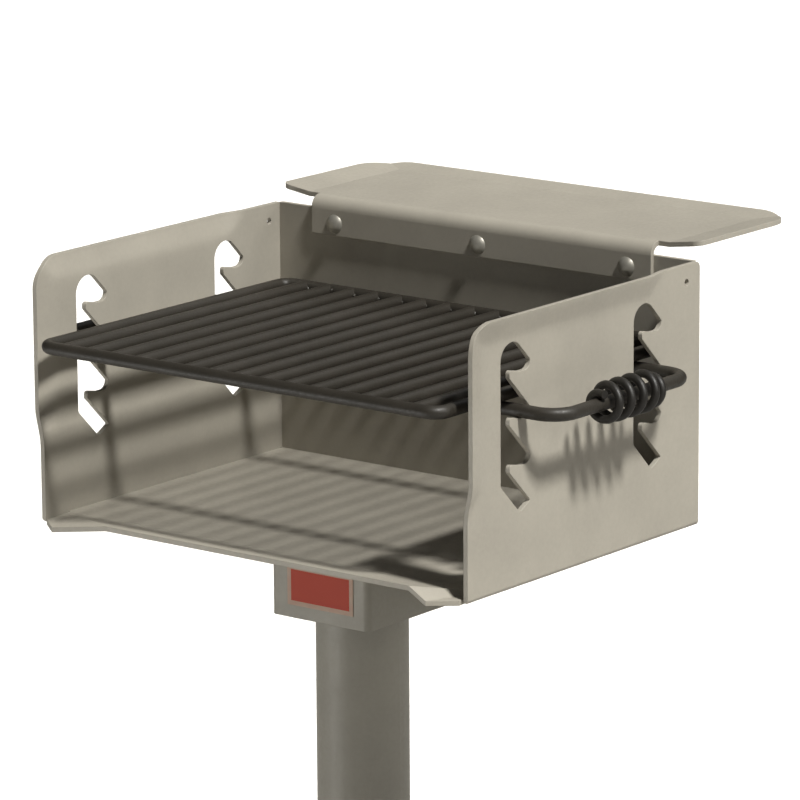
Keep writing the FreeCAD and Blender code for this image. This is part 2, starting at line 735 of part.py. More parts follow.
def swivel_bracket():
    """The folded bracket under the floor, its saddle plate and the bare red plate on its front."""
    bracket = new_body("swivel_bracket")
    outline = new_sketch(bracket, "BracketOutline")
    add_rectangle(outline, "bracket_width", "bracket_depth")
    pad(bracket, outline, "bracket_height")
    rounded = round_uprights(bracket, "bracket_round")
    ends = []
    for index, face in enumerate(rounded.Shape.Faces):
        if face.BoundBox.ZLength < 0.01:
            ends.append("Face%d" % (index + 1))
    shell = bracket.newObject("PartDesign::Thickness", "BracketShell")
    shell.Base = (rounded, ends)
    shell.Reversed = True
    shell.Mode = 0
    shell.Join = 0
    shell.setExpression("Value", ref("plate"))
    doc.recompute()
    place(bracket, z="(floor_height - bracket_height) * 1 mm")

    saddle = new_body("saddle_plate")
    seat = new_sketch(saddle, "SaddleOutline")
    add_rectangle(seat, "bracket_width - 2 * plate", "bracket_depth - 2 * plate")
    pad(saddle, seat, "saddle_thick")
    round_uprights(saddle, "bracket_round - plate + 0.3")
    hole = new_sketch(saddle, "SaddleHole")
    add_circle(hole, "swivel_bolt + 2 * swivel_fit")
    pocket(saddle, hole, True)
    place(saddle, z="(floor_height - saddle_drop - saddle_thick) * 1 mm")

    label = new_body("red_plate")
    face = new_sketch(label, "RedPlate", "XZ_Plane")
    add_rectangle(face, "plate_label_width", "plate_label_height")
    pad(label, face, "plate_label_thick")
    place(label, "plate_label_aside * 1 mm", "-bracket_depth / 2 * 1 mm",
          z="(floor_height - plate_label_down - plate_label_height / 2) * 1 mm")


def bent_rod(points, radius, diameter):
    """A round rod along straight runs, with a tangent arc at each inner point."""
    edges = []
    start = points[0]
    for index in range(1, len(points) - 1):
        here = points[index]
        back = (points[index - 1] - here).normalize()
        ahead = (points[index + 1] - here).normalize()
        half = back.getAngle(ahead) / 2
        reach = radius / math.tan(half)
        inward = (back + ahead).normalize()
        near = here + back * reach
        far = here + ahead * reach
        crown = here + inward * (radius / math.sin(half) - radius)
        if (near - start).Length > 1e-6:
            edges.append(Part.LineSegment(start, near).toShape())
        edges.append(Part.Arc(near, crown, far).toShape())
        start = far
    edges.append(Part.LineSegment(start, points[-1]).toShape())
    path = Part.Wire(edges)
    section = Part.Wire(Part.makeCircle(diameter / 2, points[0], points[1] - points[0]))
    return path.makePipeShell([section], True, False)


def grate():
    """The cooking grate: a bent frame, its bars, two crossbars and the two handles."""
    rod = size("rod")
    pitch = size("bar_pitch")
    steps = int(size("bars_each_side"))
    half = (size("grate_width") - rod) / 2
    seat = seated_rod()
    level = int(size("seat_level"))
    cross_height = seat_height(level) + seat.y
    height = cross_height + rod
    front = box_front - size("grate_front") + rod / 2
    back = back_inner - size("grate_back_gap") - rod / 2

    middle = Vector(0, front, height)
    corners = [middle, Vector(half, front, height), Vector(half, back, height),
               Vector(-half, back, height), Vector(-half, front, height), middle]
    frame_shape = bent_rod(corners, size("grate_corner"), rod)
    frame = feature_from(one_solid(frame_shape, "grate_frame"), "grate_frame")

    for number in range(2 * steps + 1):
        bar = doc.addObject("Part::Cylinder", "Bar")
        bind(bar, Radius="rod / 2 * 1 mm")
        bar.Height = back - front
        across = (number - steps) * pitch
        bar.Placement = Placement(Vector(across, front, height), Rotation(Vector(1, 0, 0), -90))
        coped = doc.addObject("Part::Cut", "CopedBar")
        coped.Base = bar
        coped.Tool = frame
        keep(coped, "grate_bar_%02d" % (number + 1))

    weld = half - rod
    for which, name in ((0, "front_crossbar"), (1, "back_crossbar")):
        cross = doc.addObject("Part::Cylinder", name)
        bind(cross, Radius="rod / 2 * 1 mm")
        cross.Height = 2 * weld
        cross.Placement = Placement(Vector(-weld, slot_frame(which) + seat.x, cross_height),
                                    Rotation(Vector(0, 1, 0), 90))
        keep(cross, name)

    grip = half_width + size("handle_out")
    for side, name in ((-1, "left"), (1, "right")):
        path = [Vector(side * weld, slot_frame(0) + seat.x, cross_height),
                Vector(side * grip, slot_frame(0) + seat.x, cross_height),
                Vector(side * grip, slot_frame(1) + seat.x, cross_height),
                Vector(side * weld, slot_frame(1) + seat.x, cross_height)]
        handle = one_solid(bent_rod(path, size("handle_bend"), rod), name + "_handle")
        feature_from(handle, name + "_handle")
        coil = coiled_grip(side * grip, slot_frame(0) + seat.x + size("coil_front"),
                           cross_height, name)
        feature_from(coil, name + "_spring_grip")


def half_arc(start, along, end):
    """The middle of the arc that leaves its start along a direction and reaches its end."""
    chord = end - start
    straight = Vector(chord).normalize()
    angle = along.getAngle(straight)
    aside = along - straight * along.dot(straight)
    if aside.Length < 1e-9:
        return start + chord * 0.5
    return start + chord * 0.5 + aside.normalize() * (chord.Length / 2 * math.tan(angle / 2))


def coil_point(turn, turns, radius, end_radius, pitch, end_pitch):
    """A point of the coil's wire at a number of turns from its front end, round the Y axis."""
    closing = 0.75
    reach = radius - end_radius
    from_end = min(turn, turns - turn)
    ease = min(1.0, from_end / closing)
    ease = ease * ease * (3 - 2 * ease)
    here = end_radius + reach * ease
    if turn < closing:
        along = turn * end_pitch
    elif turn > turns - closing:
        along = closing * end_pitch + (turns - 2 * closing) * pitch
        along += (turn - turns + closing) * end_pitch
    else:
        along = closing * end_pitch + (turn - closing) * pitch
    angle = 2 * math.pi * turn + math.pi / 2
    return Vector(here * math.cos(angle), along, here * math.sin(angle))


def coiled_grip(x, front_end, z, name):
    """One unbroken wire wound round the handle, its end turns drawn in to the handle."""
    wire = size("coil_wire")
    end_radius = size("rod") / 2 + size("coil_fit") + wire / 2
    turns = size("coil_turns") + 1.5
    end_pitch = wire * 1.6
    pitch = (size("coil_length") - wire - 1.5 * end_pitch) / size("coil_turns")
    radius = size("coil_radius")

    def point(turn):
        return coil_point(turn, turns, radius, end_radius, pitch, end_pitch)

    def heading(turn):
        step = 1e-4
        before = max(0.0, turn - step)
        after = min(turns, turn + step)
        return (point(after) - point(before)).normalize()

    steps = int(round(turns * 4))
    knots = [point(index * turns / steps) for index in range(steps + 1)]
    ways = [heading(index * turns / steps) for index in range(steps + 1)]
    edges = [Part.LineSegment(knots[0] - ways[0] * wire, knots[0]).toShape()]
    for index in range(steps):
        start, end = knots[index], knots[index + 1]
        leave, arrive = ways[index], ways[index + 1]
        span = end - start
        both = leave + arrive
        a = 2 * (leave.dot(arrive) - 1)
        b = -2 * span.dot(both)
        c = span.dot(span)
        reach = (-b - math.sqrt(b * b - 4 * a * c)) / (2 * a)
        joint = (start + leave * reach + end - arrive * reach) * 0.5
        edges.append(Part.Arc(start, half_arc(start, leave, joint), joint).toShape())
        leaving = ((end - arrive * reach) - (start + leave * reach)).normalize()
        edges.append(Part.Arc(joint, half_arc(joint, leaving, end), end).toShape())
    edges.append(Part.LineSegment(knots[-1], knots[-1] + ways[-1] * wire).toShape())
    path = Part.Wire(edges)
    first = knots[0] - ways[0] * wire
    section = Part.Wire(Part.makeCircle(wire / 2, first, ways[0]))
    shape = path.makePipeShell([section], True, False)
    least = least_gap(path, wire)
    print("%s grip: volume %.0f, section times length %.0f, least gap to itself %.2f"
          % (name, shape.Volume, math.pi * wire ** 2 / 4 * path.Length, least))
    shape.translate(Vector(x, front_end + wire / 2, z))
    return one_solid(shape, name + " grip")


def least_gap(path, wire):
    """The least gap of a wound wire to itself, measured on points along its middle line."""
    points = path.discretize(400)
    step = path.Length / 399
    apart = int(3 * wire / step) + 1
    least = 1e9
    for index in range(len(points)):
        for other in range(index + apart, len(points)):
            least = min(least, (points[index] - points[other]).Length)
    return least - wire


bolt_height = top_edge - size("shelf_bolt_down")

pedestal()
swivel_bracket()
floor_panel()
back_panel()
side_panel(-1, "left_side_panel")
side_panel(1, "right_side_panel")
shelf()
for step, name in ((-1, "left"), (0, "middle"), (1, "right")):
    shelf_fastener(step, name)
grate()
doc.recompute()

failed = [item.Label for item in doc.Objects if {"Invalid", "Error"} & set(item.State)]
if failed:
    raise ValueError("not built: %s" % ", ".join(failed))
for item in PARTS:
    if item.Shape.isNull() or not item.Shape.isValid() or len(item.Shape.Solids) != 1:
        raise ValueError("bad shape: %s" % item.Label)

os.makedirs("parts", exist_ok=True)
for item in PARTS:
    item.Shape.exportStep(os.path.join("parts", item.Label + ".step"))
print("%d pieces, %.1f kg of steel" % (len(PARTS), sum(i.Shape.Volume for i in PARTS) * 7.85e-6))
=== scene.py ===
"""The looks of a park barbecue grill: painted firebox, charcoal grate, coiled grips and post.

Everything is in metres, in the part's own frame: the origin is the middle of the base plate's
underside, +Z is up, +Y points to the back and +X to the grill's right-hand side.
"""

import json
import logging
import math
from dataclasses import dataclass, field
from enum import Enum

import bpy
from mathutils import Matrix, Vector

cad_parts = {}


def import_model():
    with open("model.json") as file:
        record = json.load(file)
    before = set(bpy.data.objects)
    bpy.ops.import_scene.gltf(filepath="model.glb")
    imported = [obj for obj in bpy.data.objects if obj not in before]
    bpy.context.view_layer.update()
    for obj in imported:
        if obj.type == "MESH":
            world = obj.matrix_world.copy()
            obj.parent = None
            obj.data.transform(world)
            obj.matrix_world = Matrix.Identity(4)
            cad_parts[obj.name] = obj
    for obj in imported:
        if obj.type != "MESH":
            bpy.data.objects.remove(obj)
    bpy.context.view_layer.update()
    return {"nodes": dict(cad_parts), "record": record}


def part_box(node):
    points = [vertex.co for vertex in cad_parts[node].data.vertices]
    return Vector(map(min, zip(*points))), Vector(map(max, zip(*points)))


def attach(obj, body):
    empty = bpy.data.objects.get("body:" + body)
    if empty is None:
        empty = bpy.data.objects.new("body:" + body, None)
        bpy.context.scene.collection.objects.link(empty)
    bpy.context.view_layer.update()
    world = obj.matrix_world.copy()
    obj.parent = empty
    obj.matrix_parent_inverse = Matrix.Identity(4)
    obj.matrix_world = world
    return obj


LOG = logging.getLogger("park_grill")
MM = 0.001

# Sockets of a colour mix node, which has one set of them for each kind of data.
MIX_FIRST, MIX_SECOND, MIX_RESULT = 6, 7, 2

# How the metals are mottled: the speckle's size as a share of the patches', its share in the
# mix, and the stretch of the noise over which the colours and the roughness change.
SPECKLE_SIZE = 0.06
SPECKLE_SHARE = 0.35
PATCH_STRETCH = (0.45, 0.95)
NOISE_STRETCH = (0.3, 0.7)
BUMP_STRENGTH = 0.5
BEVEL_SAMPLES = 6


class Grain(Enum):
    """How coarse the skin of a finish is, in millimetres."""

    ORANGE_PEEL = 2.6
    BRUSHED_ROD = 3.4
    CAST_SKIN = 1.8


def linear(code: str) -> tuple[float, float, float, float]:
    """Turns an sRGB hex value to a linear colour.

    Args:
        code: six hex digits, such as "a9a59a".

    Returns:
        Red, green, blue and an alpha of one.
    """
    channels = []
    for start in (0, 2, 4):
        value = int(code[start:start + 2], 16) / 255.0
        channels.append(value / 12.92 if value <= 0.04045 else ((value + 0.055) / 1.055) ** 2.4)
    return (channels[0], channels[1], channels[2], 1.0)


def add_node(tree: bpy.types.NodeTree, kind: str, settings: dict | None = None,
             links: dict | None = None, **values) -> bpy.types.Node:
    """Adds one node with its settings, values and links.

    Args:
        tree: the tree that gets the node.
        kind: the node's type name.
        settings: the node's own properties.
        links: input names or numbers, each with the socket that feeds it.
        **values: input names, with underscores for spaces, and their values.

    Returns:
        The new node.
    """
    node = tree.nodes.new(kind)
    for name, value in (settings or {}).items():
        setattr(node, name, value)
    for name, value in values.items():
        node.inputs[name.replace("_", " ")].default_value = value
    for name, socket in (links or {}).items():
        tree.links.new(socket, node.inputs[name])
    return node


def maths(tree: bpy.types.NodeTree, operation: str, *terms) -> bpy.types.NodeSocket:
    """Adds a math node.

    Args:
        tree: the tree that gets the node.
        operation: what it works out.
        *terms: its inputs in order, each a number or the socket that feeds it.

    Returns:
        The socket with the result.
    """
    node = add_node(tree, "ShaderNodeMath", {"operation": operation})
    for index, term in enumerate(terms):
        if isinstance(term, bpy.types.NodeSocket):
            tree.links.new(term, node.inputs[index])
        else:
            node.inputs[index].default_value = term
    return node.outputs[0]


def blend(tree: bpy.types.NodeTree, share: bpy.types.NodeSocket, first: str,
          second: str) -> bpy.types.NodeSocket:
    """Adds a node that blends two colours.

    Args:
        tree: the tree that gets the node.
        share: the socket with the second colour's share.
        first: the first colour's hex value.
        second: the second colour's hex value.

    Returns:
        The socket with the blended colour.
    """
    node = add_node(tree, "ShaderNodeMix", {"data_type": "RGBA"}, links={0: share})
    node.inputs[MIX_FIRST].default_value = linear(first)
    node.inputs[MIX_SECOND].default_value = linear(second)
    return node.outputs[MIX_RESULT]


@dataclass(frozen=True)
class Finish:
    """A painted or plated metal, with the mottling and the skin of outdoor steel.

    Attributes:
        name: what the material is called.
        colour: its main colour.
        shade: the colour of its darker patches.
        roughness: lowest and highest roughness.
        metallic: 0 for paint, 1 for bare metal.
        patch: size of the patches, in millimetres.
        grain: how coarse the skin is.
        relief: depth of the skin, in millimetres.
        edge: how far the paint rounds a cut edge, in millimetres.
    """

    name: str
    colour: str
    shade: str
    roughness: tuple[float, float]
    metallic: float = 0.0
    patch: float = 70.0
    grain: Grain = Grain.ORANGE_PEEL
    relief: float = 0.05
    edge: float = 0.0

    def build(self) -> bpy.types.Material:
        """Builds the material.

        Returns:
            The new material.
        """
        material, tree, shader = new_material(self.name)
        place = add_node(tree, "ShaderNodeTexCoord").outputs["Object"]
        patches = add_node(tree, "ShaderNodeTexNoise", links={"Vector": place},
                           Scale=1.0 / (self.patch * MM), Detail=5.0, Roughness=0.55)
        speckle = add_node(tree, "ShaderNodeTexNoise", links={"Vector": place},
                           Scale=1.0 / (SPECKLE_SIZE * self.patch * MM), Detail=3.0,
                           Roughness=0.6)
        both = maths(tree, "MULTIPLY_ADD", speckle.outputs["Fac"], SPECKLE_SHARE,
                     patches.outputs["Fac"])
        spread = add_node(tree, "ShaderNodeMapRange", links={"Value": both},
                          From_Min=PATCH_STRETCH[0], From_Max=PATCH_STRETCH[1])
        tint = blend(tree, spread.outputs[0], self.shade, self.colour)
        tree.links.new(tint, shader.inputs["Base Color"])
        rough = add_node(tree, "ShaderNodeMapRange", links={"Value": speckle.outputs["Fac"]},
                         From_Min=NOISE_STRETCH[0], From_Max=NOISE_STRETCH[1],
                         To_Min=self.roughness[1], To_Max=self.roughness[0])
        tree.links.new(rough.outputs[0], shader.inputs["Roughness"])
        shader.inputs["Metallic"].default_value = self.metallic
        skin = add_node(tree, "ShaderNodeTexNoise", links={"Vector": place},
                        Scale=1.0 / (self.grain.value * MM), Detail=2.0)
        bump = add_node(tree, "ShaderNodeBump", links={"Height": skin.outputs["Fac"]},
                        Strength=BUMP_STRENGTH, Distance=self.relief * MM)
        if self.edge:
            rounded = add_node(tree, "ShaderNodeBevel", {"samples": BEVEL_SAMPLES},
                               Radius=self.edge * MM)
            tree.links.new(rounded.outputs["Normal"], bump.inputs["Normal"])
        tree.links.new(bump.outputs["Normal"], shader.inputs["Normal"])
        return material


def new_material(name: str) -> tuple[bpy.types.Material, bpy.types.NodeTree, bpy.types.Node]:
    """Makes an empty material with one Principled shader.

    Args:
        name: the material's name.

    Returns:
        The material, its tree and its shader.
    """
    material = bpy.data.materials.new(name)
    material.use_nodes = True
    tree = material.node_tree
    tree.nodes.clear()
    shader = add_node(tree, "ShaderNodeBsdfPrincipled")
    add_node(tree, "ShaderNodeOutputMaterial", links={"Surface": shader.outputs["BSDF"]})
    return material, tree, shader


# Heat-resistant stove paint, sprayed: an even, warm grey satin with a slight orange peel.
STOVE_PAINT = Finish("stove_paint_warm_grey", "aca79b", "a19c91", (0.4, 0.54), edge=1.0)
# The same paint on the post, its cap, the bracket, the saddle and the foot, a little darker.
# That darker colour is painted shade: it stands in for the shade that the firebox casts on these
# parts.
POST_PAINT_WITH_PAINTED_SHADE = Finish("stove_paint_post_grey_painted_shade", "9c998f", "918e85", (0.4, 0.55), edge=1.0)
# Hot-rolled round bar in charcoal stove paint: a dark satin of uneven gloss.
CHARCOAL_ROD = Finish("stove_paint_charcoal", "302c26", "27241e", (0.42, 0.6), patch=40.0,
                      grain=Grain.BRUSHED_ROD, relief=0.06)
# Drawn spring wire, five sixteenths of an inch thick, in a darker and smoother charcoal.
SPRING_WIRE = Finish("spring_wire_charcoal", "1f1d19", "191714", (0.42, 0.58), patch=30.0,
                     grain=Grain.CAST_SKIN, relief=0.03)
# Zinc plate on bolts, nuts and washers: pale metal with a soft cloudy bloom.
ZINC_PLATE = Finish("zinc_plate", "b3b0a6", "9d9a91", (0.36, 0.55), metallic=0.6, patch=12.0,
                    grain=Grain.CAST_SKIN, relief=0.02)


@dataclass(frozen=True)
class EnamelPlate:
    """Stoved red enamel with a printed pale border, on a thin plate.

    Attributes:
        name: what the material is called.
        red: colour of the field.
        pale: colour of the border.
        border: width of the border, in millimetres.
        cloud: size of the worn patches of the border, in millimetres.
        worn: how much of the pale colour is left where the border is most worn.
        roughness: how rough the enamel is.
        specular: how strongly it reflects, where 0.5 is usual.
    """

    name: str
    red: str
    pale: str
    border: float
    cloud: float = 9.0
    worn: float = 0.82
    roughness: float = 0.5
    specular: float = 0.25

    def build(self, low: Vector, high: Vector) -> bpy.types.Material:
        """Builds the material for a plate between two corners.

        Args:
            low: the plate's lowest corner.
            high: the plate's highest corner.

        Returns:
            The new material.
        """
        material, tree, shader = new_material(self.name)
        place = add_node(tree, "ShaderNodeTexCoord").outputs["Object"]
        split = add_node(tree, "ShaderNodeSeparateXYZ", links={"Vector": place})
        middle = (low + high) / 2
        half = (high - low) / 2
        inside = []
        for axis, name in ((0, "X"), (2, "Z")):
            shift = maths(tree, "SUBTRACT", split.outputs[name], middle[axis])
            size = maths(tree, "ABSOLUTE", shift)
            inside.append(maths(tree, "SUBTRACT", half[axis], size))
        edge = maths(tree, "MINIMUM", *inside)
        band = maths(tree, "LESS_THAN", edge, self.border * MM)
        fade = add_node(tree, "ShaderNodeTexNoise", links={"Vector": place},
                        Scale=1.0 / (self.cloud * MM), Detail=4.0)
        left = add_node(tree, "ShaderNodeMapRange", links={"Value": fade.outputs["Fac"]},
                        From_Min=NOISE_STRETCH[0], From_Max=NOISE_STRETCH[1],
                        To_Min=self.worn, To_Max=1.0)
        share = maths(tree, "MULTIPLY", band, left.outputs[0])
        tree.links.new(blend(tree, share, self.red, self.pale), shader.inputs["Base Color"])
        shader.inputs["Roughness"].default_value = self.roughness
        shader.inputs["Specular IOR Level"].default_value = self.specular
        return material


RED_ENAMEL = EnamelPlate("red_enamel_plate", "ae3a23", "b7a292", border=4.4)


def dress(node: bpy.types.Object, material: bpy.types.Material) -> None:
    """Gives a CAD node its material.

    Args:
        node: the object of the frame.
        material: what it is made of.
    """
    for index in range(len(node.material_slots)):
        node.material_slots[index].link = "OBJECT"
        node.material_slots[index].material = material


def new_tree(name: str, inputs: dict[str, str]) -> tuple[bpy.types.NodeTree, dict]:
    """Makes an empty geometry tree with named inputs.

    Args:
        name: the tree's name.
        inputs: each input's name and kind of socket, such as "Float".

    Returns:
        The tree and the sockets of its inputs.
    """
    tree = bpy.data.node_groups.new(name, "GeometryNodeTree")
    for title, kind in inputs.items():
        tree.interface.new_socket(title, in_out="INPUT", socket_type="NodeSocket" + kind)
    tree.interface.new_socket("Beads", in_out="OUTPUT", socket_type="NodeSocketGeometry")
    return tree, add_node(tree, "NodeGroupInput").outputs


def finish_tree(tree: bpy.types.NodeTree, shape: bpy.types.NodeSocket,
                weld: bpy.types.NodeSocket) -> None:
    """Smooths the shape of a tree, gives it its material and puts it out.

    Args:
        tree: the tree.
        shape: the socket with the real geometry.
        weld: the socket with the material.
    """
    smooth = add_node(tree, "GeometryNodeSetShadeSmooth", links={"Geometry": shape})
    dressed = add_node(tree, "GeometryNodeSetMaterial",
                       links={"Geometry": smooth.outputs["Geometry"], "Material": weld})
    add_node(tree, "NodeGroupOutput", links={"Beads": dressed.outputs["Geometry"]})


def grow(name: str, tree: bpy.types.NodeTree, values: dict, body: str) -> None:
    """Makes one object from a geometry tree and lets it ride on a body.

    Args:
        name: the object's name.
        tree: the tree that shapes it.
        values: the value of each of the tree's inputs.
        body: the body that it moves with.
    """
    grown = bpy.data.objects.new(name, bpy.data.meshes.new(name))
    bpy.context.scene.collection.objects.link(grown)
    modifier = grown.modifiers.new("shape", "NODES")
    modifier.node_group = tree
    for item in tree.interface.items_tree:
        if item.in_out == "INPUT":
            modifier[item.identifier] = values[item.name]
    bpy.context.view_layer.update()
    view = grown.evaluated_get(bpy.context.evaluated_depsgraph_get())
    grown.data = bpy.data.meshes.new_from_object(view)
    grown.modifiers.clear()
    grown.data.name = name
    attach(grown, body)
    LOG.info("%s: %d faces", name, len(grown.data.polygons))


@dataclass
class Subassembly:
    """Pieces of one group that share a finish.

    Attributes:
        nodes: the frame's objects by name.
        finish: what they are made of.
        names: the CAD nodes of this group.
    """

    nodes: dict[str, bpy.types.Object]
    finish: Finish
    names: list[str] = field(default_factory=list)

    def dress(self) -> bpy.types.Material:
        """Gives each node of the group its finish.

        Returns:
            The material of the finish.
        """
        material = self.finish.build()
        for name in self.names:
            dress(self.nodes[name], material)
            LOG.info("%s: %s", name, self.finish.name)
        return material


@dataclass
class Grate(Subassembly):
    """The cooking grate, with the weld beads that hold its bars.

    Attributes:
        bead: size of a weld bead.
        spread: how far a pair's beads lie from the bar's middle, as a share of the rod.
        inset: how far the beads lie inside the frame's outline, as a share of the rod.
        lift: how far the beads lie above the top of a crossbar.
        turned: the most that a bead is turned about each axis.
        least: the least scale of a bead along each axis.
        most: the largest scale of a bead along each axis.
    """

    bead: float = 0.0031
    spread: float = 0.42
    inset: float = 0.9
    lift: float = 0.0006
    turned: tuple[float, float, float] = (6.28, 6.28, 6.28)
    least: tuple[float, float, float] = (0.7, 0.9, 0.7)
    most: tuple[float, float, float] = (1.0, 1.5, 1.0)

    def bead_tree(self) -> bpy.types.NodeTree:
        """Builds the tree that sets one pair of weld beads at each bar of a row.

        Returns:
            A geometry tree with named inputs.
        """
        tree, given = new_tree("weld_beads", {"Bars": "Int", "Pitch": "Float", "Spread": "Float",
                                              "Bead": "Float", "Middle": "Vector",
                                              "Weld": "Material"})
        last = maths(tree, "SUBTRACT", given["Bars"], 1.0)
        reach = maths(tree, "MULTIPLY", last, given["Pitch"])
        begin = maths(tree, "MULTIPLY", reach, -0.5)
        bead = add_node(tree, "GeometryNodeMeshIcoSphere", links={"Radius": given["Bead"]},
                        Subdivisions=2)
        rows = []
        for side in (-1.0, 1.0):
            shift = maths(tree, "MULTIPLY_ADD", given["Spread"], side, begin)
            start = add_node(tree, "ShaderNodeCombineXYZ", links={"X": shift})
            place = add_node(tree, "ShaderNodeVectorMath", {"operation": "ADD"},
                             links={0: start.outputs[0], 1: given["Middle"]})
            step = add_node(tree, "ShaderNodeCombineXYZ", links={"X": given["Pitch"]})
            line = add_node(tree, "GeometryNodeMeshLine",
                            links={"Count": given["Bars"], "Start Location": place.outputs[0],
                                   "Offset": step.outputs[0]})
            rows.append(line.outputs["Mesh"])
        joined = add_node(tree, "GeometryNodeJoinGeometry")
        for row in rows:
            tree.links.new(row, joined.inputs[0])
        turn = add_node(tree, "FunctionNodeRandomValue", {"data_type": "FLOAT_VECTOR"}, Seed=7)
        turn.inputs[1].default_value = self.turned
        swell = add_node(tree, "FunctionNodeRandomValue", {"data_type": "FLOAT_VECTOR"}, Seed=11)
        swell.inputs[0].default_value = self.least
        swell.inputs[1].default_value = self.most
        placed = add_node(tree, "GeometryNodeInstanceOnPoints",
                          links={"Points": joined.outputs[0], "Instance": bead.outputs["Mesh"],
                                 "Rotation": turn.outputs[0], "Scale": swell.outputs[0]})
        solid = add_node(tree, "GeometryNodeRealizeInstances",
                         links={"Geometry": placed.outputs["Instances"]})
        finish_tree(tree, solid.outputs["Geometry"], given["Weld"])
        return tree

    def weld(self, rows: dict[str, Vector], rod: float, pitch: float, bars: int,
             material: bpy.types.Material) -> None:
        """Adds the rows of weld beads.

        Args:
            rows: each row's name and the middle of its beads.
            rod: diameter of the bars.
            pitch: spacing of the bars.
            bars: how many bars there are.
            material: what the beads are made of.
        """
        tree = self.bead_tree()
        for name, middle in rows.items():
            grow(name, tree, {"Bars": bars, "Pitch": pitch, "Spread": rod * self.spread,
                              "Bead": self.bead, "Middle": tuple(middle), "Weld": material},
                 "grate")

    def build(self) -> None:
        """Dresses the grate and adds its welds."""
        material = self.dress()
        bars = [name for name in self.names if name.startswith("grate_bar_")]
        first_low, first_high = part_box(bars[0])
        last_low, last_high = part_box(bars[-1])
        rod = first_high.z - first_low.z
        pitch = (last_low.x - first_low.x) / (len(bars) - 1)
        middle = (first_low.x + last_high.x) / 2
        height = (first_low.z + first_high.z) / 2
        frame_low, frame_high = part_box("grate_frame")
        inset = rod * self.inset
        rows = {"front_weld_beads": Vector((middle, frame_low.y + inset, height)),
                "back_weld_beads": Vector((middle, frame_high.y - inset, height))}
        for cross in ("front_crossbar", "back_crossbar"):
            low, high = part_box(cross)
            rows[cross + "_welds"] = Vector((middle, (low.y + high.y) / 2, high.z + self.lift))
        self.weld(rows, rod, pitch, len(bars), material)


@dataclass
class Pedestal(Subassembly):
    """The post and its foot, with the rippled weld where the pipe meets the base plate.

    Attributes:
        bead: half the width of the weld.
        ripple: length of one ripple.
        steps: how many straight steps one ripple is drawn with.
        wave: share of the even wave in the ripples.
        depth: height of the ripples, as a share of the bead.
        uneven: scale of the noise that makes the ripples uneven.
    """

    bead: float = 0.0045
    ripple: float = 0.0042
    steps: float = 6.0
    wave: float = 0.45
    depth: float = 0.16
    uneven: float = 60.0

    def ring_tree(self) -> bpy.types.NodeTree:
        """Builds the tree of a rippled weld that runs round a pipe.

        Returns:
            A geometry tree with named inputs.
        """
        tree, given = new_tree("weld_ring", {"Radius": "Float", "Bead": "Float",
                                             "Ripples": "Int", "Middle": "Vector",
                                             "Weld": "Material"})
        steps = maths(tree, "MULTIPLY", given["Ripples"], self.steps)
        path = add_node(tree, "GeometryNodeCurvePrimitiveCircle",
                        links={"Resolution": steps, "Radius": given["Radius"]})
        section = add_node(tree, "GeometryNodeCurvePrimitiveCircle",
                           links={"Radius": given["Bead"]}, Resolution=10)
        tube = add_node(tree, "GeometryNodeCurveToMesh",
                        links={"Curve": path.outputs["Curve"],
                               "Profile Curve": section.outputs["Curve"]})
        place = add_node(tree, "GeometryNodeInputPosition").outputs[0]
        split = add_node(tree, "ShaderNodeSeparateXYZ", links={"Vector": place})
        angle = maths(tree, "ARCTAN2", split.outputs["Y"], split.outputs["X"])
        phase = maths(tree, "MULTIPLY", angle, given["Ripples"])
        wave = maths(tree, "SINE", phase)
        uneven = add_node(tree, "ShaderNodeTexNoise", links={"Vector": place},
                          Scale=self.uneven)
        swell = maths(tree, "MULTIPLY_ADD", wave, self.wave, uneven.outputs["Fac"])
        height = maths(tree, "MULTIPLY", swell, given["Bead"])
        offset = maths(tree, "MULTIPLY", height, self.depth)
        normal = add_node(tree, "GeometryNodeInputNormal").outputs[0]
        out = add_node(tree, "ShaderNodeVectorMath", {"operation": "SCALE"},
                       links={0: normal, "Scale": offset})
        rippled = add_node(tree, "GeometryNodeSetPosition",
                           links={"Geometry": tube.outputs["Mesh"], "Offset": out.outputs[0]})
        moved = add_node(tree, "GeometryNodeTransform",
                         links={"Geometry": rippled.outputs["Geometry"],
                                "Translation": given["Middle"]})
        finish_tree(tree, moved.outputs["Geometry"], given["Weld"])
        return tree

    def build(self) -> None:
        """Dresses the pedestal and adds the weld at the post's foot."""
        material = self.dress()
        low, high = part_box("post")
        radius = (high.x - low.x) / 2
        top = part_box("base_plate")[1].z
        ripples = round(2 * math.pi * radius / self.ripple)
        middle = ((low.x + high.x) / 2, (low.y + high.y) / 2, top)
        grow("post_foot_weld", self.ring_tree(),
             {"Radius": radius, "Bead": self.bead, "Ripples": ripples, "Middle": middle,
              "Weld": material}, "pedestal")


